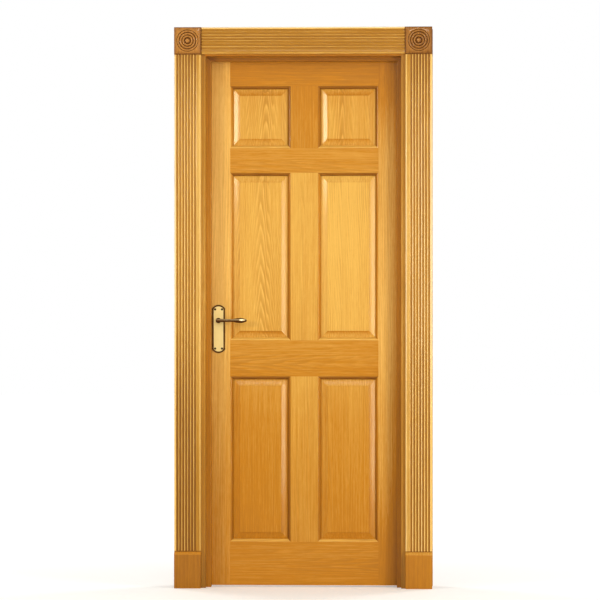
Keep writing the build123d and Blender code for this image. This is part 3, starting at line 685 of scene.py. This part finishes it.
def block_surface(half, thickness):
    """A grid about the block's centre: the turned profile row by row, then a wall up to the
    face, the face out to the square, its eased arris, and the sides down to the wall."""
    turn = np.linspace(0.0, 2 * math.pi, ROSETTE_TURNS, endpoint=False)
    ray = np.stack([np.cos(turn), np.sin(turn)], 1)
    square = ray / np.max(np.abs(ray), axis=1, keepdims=True)
    rows = []
    for radius, height in rosette_profile()[1:]:
        rows.append((ray * radius, height))
    for beyond, height in LIP:
        rows.append((ray * (ROSETTE_RADIUS + beyond), height))
    rows.append((square * (half - BLOCK_ARRIS), 0.0))
    rows.append((square * (half - BLOCK_ARRIS * 0.3), -BLOCK_ARRIS * 0.3))
    rows.append((square * half, -BLOCK_ARRIS))
    rows.append((square * half, -BLOCK_ARRIS * 3))
    rows.append((square * half, -thickness))
    flat = np.concatenate([np.column_stack([xy, np.full(len(xy), z)]) for xy, z in rows])
    centre = np.array([[0.0, 0.0, rosette_profile()[0, 1]]])
    points = np.concatenate([flat, centre])
    faces = grid_faces(len(rows), ROSETTE_TURNS)
    pole = len(flat)
    first = np.arange(ROSETTE_TURNS)
    faces += np.stack([np.full(ROSETTE_TURNS, pole), np.roll(first, -1), first], 1).tolist()
    last = (len(rows) - 1) * ROSETTE_TURNS
    faces.append([last + index for index in range(ROSETTE_TURNS)])
    return points, [face[::-1] for face in faces]


for face_name, face in FACES.items():
    for side_name in SIDES:
        node = "corner_block_" + face_name + "_" + side_name + "_side"
        low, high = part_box(node)
        half = (high[0] - low[0]) / 2
        thickness = high[1] - low[1]
        local, faces = block_surface(half, thickness)
        outer = low[1] if face < 0 else high[1]
        centre = ((low[0] + high[0]) / 2, outer, (low[2] + high[2]) / 2)
        axes = np.array([(-face, 0.0, 0.0), (0.0, 0.0, 1.0), (0.0, face, 0.0)], float)
        points = local @ axes + np.array(centre)
        lot += BLOCK_LOT
        grain = np.column_stack([points[:, 2], local[:, 0] + BLOCK_HEART, local[:, 2]])
        figure = (BLOCK_ARCH, lot, block_shade(local) + BLOCK_MORE[side_name])
        name = node.replace("corner_block", "rosette_block")
        make(name, "frame", [node], points, faces, BLOCK_OAK, grain, figure)


# Plinth blocks are plain oak blocks under the casings, a little thicker than them, with a
# bevel at the top that meets the casing's face.
PLINTH_EASE, PLINTH_SHOULDER, PLINTH_TIP = 0.0015, 0.0012, 0.001
PLINTH_BEVEL = 0.011
# A painted highlight on the bevel at the top.
BEVEL_SHADE = -0.6
PLINTH_ARCH, PLINTH_LOT = 4.0, 4.1
PLINTH_MORE = {"latch": 0.7, "hinge": 0.45}


def plinth_outline(height, thickness, rise):
    """Side outline of a plinth block, floor at 0, thickness along the first axis: both ends of
    the bevel at its top are eased."""
    shoulder = np.array([thickness, height - PLINTH_BEVEL])
    top = np.array([thickness - rise, height])
    slope = (top - shoulder) / np.linalg.norm(top - shoulder)
    points = [[0.0, 0.0], [thickness, 0.0], shoulder - [0.0, PLINTH_SHOULDER]]
    points += [shoulder + slope * PLINTH_SHOULDER, top - slope * PLINTH_TIP]
    points += [top - [PLINTH_TIP, 0.0], [0.0, height]]
    return np.array([np.asarray(point, float) for point in points])


for face_name, face in FACES.items():
    for side_name in SIDES:
        node = "plinth_block_" + face_name + "_" + side_name + "_side"
        casing_low, casing_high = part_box("casing_" + face_name + "_" + side_name + "_side")
        low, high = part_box(node)
        thickness = high[1] - low[1]
        rise = thickness - (casing_high[1] - casing_low[1])
        outline = plinth_outline(high[2] - low[2], thickness, rise)
        local, faces = carried(outline, 0.0, high[0] - low[0], PLINTH_EASE)
        across = (0.0, float(face), 0.0)
        points = placed(local, (low, high), across, (0.0, 0.0, 1.0))
        points[:, 2] = np.maximum(points[:, 2], low[2])
        lot += PLINTH_LOT
        grain = np.column_stack([points[:, 2], points[:, 0], points[:, 1]])
        bevelled = local[:, 1] > high[2] - low[2] - PLINTH_BEVEL
        more = PLINTH_MORE[side_name] + np.where(bevelled, BEVEL_SHADE, 0.0)
        figure = (PLINTH_ARCH, lot, more)
        name = node.replace("plinth_block", "plinth")
        make(name, "frame", [node], points, faces, OAK, grain, figure)


# Stops are thin oak strips planted on the lining in front of the leaf: two legs and a head,
# mitred where they meet, with the arris beside the opening rounded.
STOP_ARRIS = 0.002
STOP_ARCH, STOP_LOT = 2.0, 3.3
# Painted shade on the stops, in the reveal's shadow: deeper from foot to head, more on the hinge
# side, and most on the head stop.
STOP_ENDS = {"latch": (0.4, 1.2), "hinge": (0.75, 1.6)}
HEAD_STOP_SHADE = 1.4


def stop_outline(stand, depth):
    """Outline of a stop: stand from the lining along the first axis, depth along the second,
    with its leading arris rounded."""
    parts = [np.array([[0.0, 0.0], [stand, 0.0]])]
    parts.append(bend((stand - STOP_ARRIS, depth - STOP_ARRIS), STOP_ARRIS, 0.0, 90.0, 6))
    parts.append(np.array([[0.0, depth]]))
    return np.concatenate(parts)


head_low, head_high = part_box("stop_head")
soffit = head_high[2]
proud = (0.0, -1.0, 0.0)
for side_name in SIDES:
    node = "stop_" + side_name + "_side"
    low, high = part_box(node)
    outline = stop_outline(high[0] - low[0], high[1] - low[1])
    across = INWARDS[side_name + "_side"]
    mitre, length = outline[:, 0], soffit - low[2]
    upwards = np.cross(across, proud)[2] > 0
    ends = (0.0, length - mitre) if upwards else (mitre, length)
    local, faces = carried(outline, *ends)
    points = placed(local, (low, (high[0], high[1], soffit)), across, proud)
    lot += STOP_LOT
    grain = np.column_stack([points[:, 2], local[:, 0] + HEART_BESIDE, local[:, 1]])
    foot, head = STOP_ENDS[side_name]
    figure = (STOP_ARCH, lot, foot + (head - foot) * points[:, 2] / soffit)
    make("planted_" + node, "frame", [node], points, faces, OAK, grain, figure)
outline = stop_outline(head_high[2] - head_low[2], head_high[1] - head_low[1])
mitre, length = outline[:, 0], head_high[0] - head_low[0]
local, faces = carried(outline, mitre, length - mitre)
points = placed(local, (head_low, head_high), INWARDS["head"], proud)
lot += STOP_LOT
grain = np.column_stack([points[:, 0], local[:, 0] + HEART_BESIDE, local[:, 1]])
figure = (STOP_ARCH, lot, HEAD_STOP_SHADE)
make("planted_stop_head", "frame", ["stop_head"], points, faces, OAK, grain, figure)


# Rails and muntins are moulded boards: an ovolo between two small steps along each edge that
# holds panels, and a groove behind it. Their ends are coped over the moulding that they meet.
STICKING_STEP = 0.0015
OVOLO = 0.0095
GROOVE_DEPTH = 0.012
GROOVE_HALF = 0.00615
LEAF_HALF = 0.022
MEMBER_EASE = 0.0004


def moulded_edge(moulded):
    """Half an edge, from the face to the middle: distance in from the edge, and thickness."""
    if not moulded:
        return np.array([[MEMBER_EASE * 2, LEAF_HALF], [0.0, LEAF_HALF - MEMBER_EASE * 2]])
    hollow = LEAF_HALF - STICKING
    parts = [np.array([[STICKING + MEMBER_EASE, LEAF_HALF], [STICKING, LEAF_HALF - MEMBER_EASE]])]
    arc = bend((0.0, hollow), OVOLO, 90.0, 0.0, 10)
    parts.append(np.column_stack([STICKING - arc[:, 0], arc[:, 1]]))
    parts.append(np.array([[MEMBER_EASE, hollow], [0.0, hollow - MEMBER_EASE]]))
    parts.append(np.array([[0.0, GROOVE_HALF], [GROOVE_DEPTH, GROOVE_HALF]]))
    return np.concatenate(parts)


def member_outline(low, high, moulded_low, moulded_high):
    """Outline of a framing member, its width along the first axis and thickness the second."""
    first = moulded_edge(moulded_low)
    second = moulded_edge(moulded_high)
    front_low = np.column_stack([low + first[:, 0], first[:, 1]])
    front_high = np.column_stack([high - second[:, 0], second[:, 1]])
    back_low = front_low * (1.0, -1.0)
    back_high = front_high * (1.0, -1.0)
    return np.concatenate([back_low[::-1], back_high, front_high[::-1], front_low])


def coped(thickness):
    """How far a coped end stands back from its tongue at each depth: the moulding it meets."""
    depth = LEAF_HALF - np.abs(thickness)
    sunk = np.clip(STICKING - depth, 0.0, OVOLO)
    curve = STICKING - np.sqrt(np.maximum(OVOLO ** 2 - sunk ** 2, 0.0))
    return np.where(depth < STICKING_STEP, STICKING, np.where(depth < STICKING, curve, 0.0))


# Painted shade under the rails and beside the muntins, more on a muntin's left than its right, and
# a painted highlight on top of the rails.
UNDER_RAIL, OVER_RAIL = 1.25, -0.6
LEFT_OF_MUNTIN, RIGHT_OF_MUNTIN = 1.1, 0.6
SHADE_WIDTH = 0.002
MEMBER_LOT = 6.1
RAIL_START, RAIL_HEART = 0.05, 0.02
MUNTIN_ARCH, MUNTIN_HEART = 3.0, 0.09


def near_edges(outline, low, high, shade_low, shade_high):
    """Painted shade lies on the mouldings, most of all under the rails, and a painted
    highlight on top of them: the shade of each edge is full a little way in from where its
    moulding begins."""
    begins = STICKING + MEMBER_EASE * 0.5
    from_low = np.clip((begins - (outline[:, 0] - low)) / SHADE_WIDTH, 0.0, 1.0)
    from_high = np.clip((begins - (high - outline[:, 0])) / SHADE_WIDTH, 0.0, 1.0)
    return from_low * shade_low + from_high * shade_high


# For each rail: whether its lower and its upper edge are moulded, its rings per metre, and how
# much deeper its colour is.
RAILS = {
    "top": (True, False, 5.0, 0.88),
    "frieze": (True, True, -6.0, 0.73),
    "lock": (True, True, -10.0, 0.6),
    "bottom": (False, True, -5.0, 0.16),
}
for name, (moulded_low, moulded_high, arch, more) in RAILS.items():
    low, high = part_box("rail_" + name)
    middle = (low[1] + high[1]) / 2
    outline = member_outline(low[2], high[2], moulded_low, moulded_high)
    back = coped(outline[:, 1])
    local, faces = carried(outline, SIGHT - back, -SIGHT + back)
    points = np.column_stack([local[:, 2], middle + local[:, 1], local[:, 0]])
    lot += MEMBER_LOT
    across = points[:, 2] - (low[2] + high[2]) / 2 + RAIL_HEART
    grain = np.column_stack([points[:, 0] - RAIL_START, across, local[:, 1]])
    under, over = UNDER_RAIL * moulded_low, OVER_RAIL * moulded_high
    figure = (arch, lot, near_edges(local, low[2], high[2], under, over) + more)
    made = "coped_rail_" + name
    make(made, "leaf", ["rail_" + name], points, faces, OAK, grain, figure)

# For each muntin: the rails below and above it, and how much deeper its colour is.
BETWEEN = {
    "top": ("frieze", "top", 0.82),
    "middle": ("lock", "frieze", 0.18),
    "bottom": ("bottom", "lock", 0.0),
}
for name, (below, above, more) in BETWEEN.items():
    low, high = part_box("muntin_" + name)
    middle = (low[1] + high[1]) / 2
    bottom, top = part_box("rail_" + below)[1][2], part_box("rail_" + above)[0][2]
    outline = member_outline(low[0], high[0], True, True)
    back = coped(outline[:, 1])
    local, faces = carried(outline, bottom - back, top + back)
    points = np.column_stack([local[:, 0], middle + local[:, 1], local[:, 2]])
    lot += MEMBER_LOT
    grain = np.column_stack([points[:, 2], points[:, 0] + MUNTIN_HEART, local[:, 1]])
    shade = near_edges(local, low[0], high[0], LEFT_OF_MUNTIN, RIGHT_OF_MUNTIN) + more
    figure = (MUNTIN_ARCH, lot, shade)
    made = "coped_muntin_" + name
    flipped = [face[::-1] for face in faces]
    make(made, "leaf", ["muntin_" + name], points, flipped, OAK, grain, figure)


# Panels are raised and fielded oak boards, flat-sawn so that their grain stands in arches.
# They float in the grooves of the framing, and both faces are worked alike.
TONGUE_HALF = 0.006
FIELD_HALF = 0.016
BEVEL_TOP = 0.014
BEVEL_WIDTH = 0.024
BEVEL_HOLLOW = 0.0004
BEVEL_STEPS = 9
FIELD_SOFT = 0.0005
PANEL_LOT = 9.1


def panel_surface(width, height):
    """Rings of a rectangle, each at an inset from the sight edge and a depth: back field,
    softened shoulder, bevel, tongue, and the same again to the front field. The bevel rises
    evenly with its share of the width, less 4 hollow share (1 - share)."""
    half = [
        (BEVEL_WIDTH + 2 * FIELD_SOFT, FIELD_HALF),
        (BEVEL_WIDTH + 0.6 * FIELD_SOFT, FIELD_HALF - 0.4 * FIELD_SOFT),
        (BEVEL_WIDTH, FIELD_HALF - 1.6 * FIELD_SOFT),
    ]
    for share in np.linspace(1.0, 0.0, BEVEL_STEPS):
        rise = share * (BEVEL_TOP - TONGUE_HALF) - 4 * BEVEL_HOLLOW * share * (1 - share)
        half.append((BEVEL_WIDTH * share, TONGUE_HALF + rise))
    half.append((-TONGUE_REACH, TONGUE_HALF))
    stations = [(inset, -depth) for inset, depth in half] + half[::-1]
    corners = np.array([(-1.0, -1.0), (1.0, -1.0), (1.0, 1.0), (-1.0, 1.0)])
    rows = []
    for inset, depth in stations:
        size = np.array([width / 2 - inset, height / 2 - inset])
        rows.append(np.column_stack([corners * size, np.full(4, depth)]))
    points = np.concatenate(rows)
    faces = grid_faces(len(rows), 4)
    faces.append([3, 2, 1, 0])
    last = 4 * (len(rows) - 1)
    faces.append([last, last + 1, last + 2, last + 3])
    return points, faces


# Painted shade on each level's foot and head bevels; below 0 it is a painted highlight.
BEVEL_PAINTED_SHADE = {"top": (0.5, 0.55), "middle": (0.85, 0.16), "bottom": (0.12, -0.15)}


def panel_shade(level):
    """Painted shade on the bevels at the foot and the head of a panel, and a painted highlight
    where it is below 0: more depth of colour growing with share ** 1.5 up to the field; a
    number for every face."""
    step = np.linspace(1.0, 0.0, BEVEL_STEPS)
    share = np.concatenate([np.ones(3), (step[1:] + step[:-1]) / 2, np.zeros(1)]) ** 1.5
    share = np.concatenate([share, np.zeros(1), share[::-1]])
    foot, head = BEVEL_PAINTED_SHADE[level]
    return np.concatenate([np.outer(share, [foot, 0.0, head, 0.0]).ravel(), np.zeros(2)])


# For each panel: where the log's heart lies across it, its rings per metre, and how much deeper
# its colour is.
PANEL_SMOOTH = 12.0
PANEL_FIGURE = {
    "top_latch": (0.026, 14.0, 0.31),
    "top_hinge": (-0.030, 12.0, 0.36),
    "middle_latch": (0.004, 13.0, 0.22),
    "middle_hinge": (-0.145, 5.0, 0.06),
    "bottom_latch": (0.125, 6.0, 0.30),
    "bottom_hinge": (-0.140, 7.0, 0.19),
}
for key, (heart, arch, more) in PANEL_FIGURE.items():
    node = "panel_" + key + "_side"
    low, high = np.array(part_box(node))
    centre = (low + high) / 2
    size = high - low - 2 * TONGUE_REACH
    local, faces = panel_surface(size[0], size[2])
    points = np.column_stack([local[:, 0], local[:, 2], local[:, 1]]) + centre
    lot += PANEL_LOT
    grain = np.column_stack([points[:, 2], local[:, 0] - heart, local[:, 2]])
    flipped = [face[::-1] for face in faces]
    figure = (arch, lot, panel_shade(key.split("_")[0]) + more)
    made = "fielded_" + node
    make(made, "leaf", [node], points, flipped, OAK, grain, figure, PANEL_SMOOTH)


# The furniture is brass: bright satin backplates and hinges, and dark levers. Painted shade
# lies round the backplates' outline, and painted highlights and shade lie on the levers.
ARCH_RADIUS = 0.0283

# How far in from the sides and the arches the painted shade fades, and how far out from
# the screws the darker ring fades.
SIDE_SHADE_FADE, ARCH_SHADE_FADE, SCREW_RING_FADE = (0.008, 0.0055), (0.007, 0.0045), (0.0005, 0.0018)
SCREW_RADIUS = 0.003
BULB_FROM_TIP, BULB_ABOVE = 0.018, 0.002
BULB_LENGTH, BULB_HEIGHT = 0.013, 0.0048
BRUSHED_ACROSS, BRUSHED_UP, MOTTLED = 900.0, 60.0, 60.0
BRUSH_DEPTH, BRUSH_STRENGTH = 0.00003, 0.4


def brass(name, bright, dark, darkness, rough, outlined=False, painted_light=False):
    """Satin brass, brushed along the height and darkened by so much. On a backplate, painted
    shade lies round the outline and it is darker in a ring round each screw; on a lever,
    painted shade lies below its middle and along its top, and painted highlights lie just
    above its middle and on its bulb."""
    finish = Finish(name, Specular_IOR_Level=0.05)
    x, y, z = finish.point()
    brushed = finish.cloud(x * BRUSHED_ACROSS, y * BRUSHED_ACROSS, z * BRUSHED_UP, 2.0)
    mottle = finish.cloud(x * MOTTLED, y * MOTTLED, z * MOTTLED, 3.0)
    amount = darkness + (mottle - 0.5) * 0.3
    if outlined:
        low, high = np.array(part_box("backplate_front"))
        hole_low, hole_high = np.array(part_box("backplate_screws"))
        middle_x, _, middle_z = ((low + high) / 2).tolist()
        half_x, _, half_z = ((high - low) / 2).tolist()
        hole_x, _, hole_z = ((hole_high - hole_low) / 2 - SCREW_RADIUS).tolist()
        from_middle, above_middle = (x - middle_x).size(), (z - middle_z).size()
        beyond = above_middle - (half_z - ARCH_RADIUS)
        beyond = beyond.maths("MAXIMUM", beyond, 0.0)
        reach = (from_middle * from_middle + beyond * beyond).root()
        aside, above = from_middle - hole_x, above_middle - hole_z
        from_screw = (aside * aside + above * above).root()
        amount = amount + from_middle.rise(*(half_x - edge for edge in SIDE_SHADE_FADE))
        amount = amount + reach.rise(*(ARCH_RADIUS - edge for edge in ARCH_SHADE_FADE))
        ring = [SCREW_RADIUS + edge for edge in SCREW_RING_FADE]
        amount = amount + from_screw.rise(*ring, 1.0, 0.0)
    if painted_light:
        low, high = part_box("lever_front")
        bulb_x, bulb_z = high[0] - BULB_FROM_TIP, (low[2] + high[2]) / 2 + BULB_ABOVE
        from_x, from_z = (x - bulb_x) * (1.0 / BULB_LENGTH), (z - bulb_z) * (1.0 / BULB_HEIGHT)
        # Painted shade below the middle and along the top, a painted highlight just above the
        # middle, and a painted highlight on the bulb.
        amount = amount + from_z.rise(-0.9, 0.3, 0.15, -0.3) + from_z.rise(0.45, 1.1, 0.0, 0.55)
        amount = amount - (from_x * from_x + from_z * from_z).root().rise(0.35, 1.0, 1.0, 0.0)
    amount = amount.rise(0.0, 1.0)
    finish.wear(
        Base_Color=finish.blend(amount, bright, dark),
        Metallic=1.0 - amount * 0.75,
        Roughness=rough + brushed * 0.12 + amount * 0.08,
        Normal=finish.bump(brushed, BRUSH_DEPTH, BRUSH_STRENGTH),
    )
    return finish.material


BRIGHT_BRASS = (0.86, 0.63, 0.25, 1.0)
DARK_BRASS = (0.075, 0.026, 0.006, 1.0)
# The lever's bright colour shows only in its painted highlights.
LEVER_HIGHLIGHT_BRASS = (0.92, 0.74, 0.40, 1.0)
SCREW_NEAR_BLACK = (0.02, 0.01, 0.005, 1.0)
plate_brass = brass("satin_brass", BRIGHT_BRASS, DARK_BRASS, 0.05, 0.34, outlined=True)
lever_brass = brass("antique_brass", LEVER_HIGHLIGHT_BRASS, DARK_BRASS, 0.95, 0.2, painted_light=True)
hinge_brass = brass("hinge_brass", BRIGHT_BRASS, DARK_BRASS, 0.12, 0.32)
# The screw heads are near black.
screw_brass = Finish(
    "near_black_screws", Base_Color=SCREW_NEAR_BLACK, Roughness=0.6, Specular_IOR_Level=0.05
).material
for level in ("top", "middle", "bottom"):
    for flap in ("leaf", "lining"):
        dress("hinge_" + level + "_" + flap + "_flap", hinge_brass)
for node in ("hinge_pins", "hinge_leaf_screws", "hinge_lining_screws"):
    dress(node, hinge_brass)
for node in ("latch_forend", "latch_forend_screws", "strike_plate", "strike_screws"):
    dress(node, hinge_brass)
for face_name in FACES:
    dress("backplate_" + face_name, plate_brass)
    dress("lever_" + face_name, lever_brass)
dress("backplate_screws", screw_brass)


# The latch inside the stile is zinc-plated steel, and the dowels in the rail ends are bare
# beech. Of all these only the tip of the bolt shows, in the edge of the leaf.
DULL_STEEL, BRIGHT_STEEL = (0.45, 0.45, 0.46, 1.0), (0.62, 0.62, 0.63, 1.0)
PALE_BEECH, DEEP_BEECH = (0.66, 0.45, 0.27, 1.0), (0.52, 0.32, 0.17, 1.0)
steel = Finish("latch_steel", Metallic=1.0)
sx, sy, sz = steel.point()
steel_grain = steel.cloud(sx * 80.0, sy * 900.0, sz * 900.0, 2.0)
steel.wear(
    Base_Color=steel.blend(steel_grain, DULL_STEEL, BRIGHT_STEEL),
    Roughness=0.25 + steel_grain * 0.15,
)
beech = Finish("dowel_beech")
bx, by, bz = beech.point()
beech_grain = beech.cloud(bx * 12.0, by * 500.0, bz * 500.0, 3.0)
beech.wear(
    Base_Color=beech.blend(beech_grain, PALE_BEECH, DEEP_BEECH),
    Roughness=0.5 + beech_grain * 0.15,
)
for node in ("latch_case", "latch_bolt", "latch_follower", "spindle"):
    dress(node, steel.material)
dress("rail_dowels", beech.material)
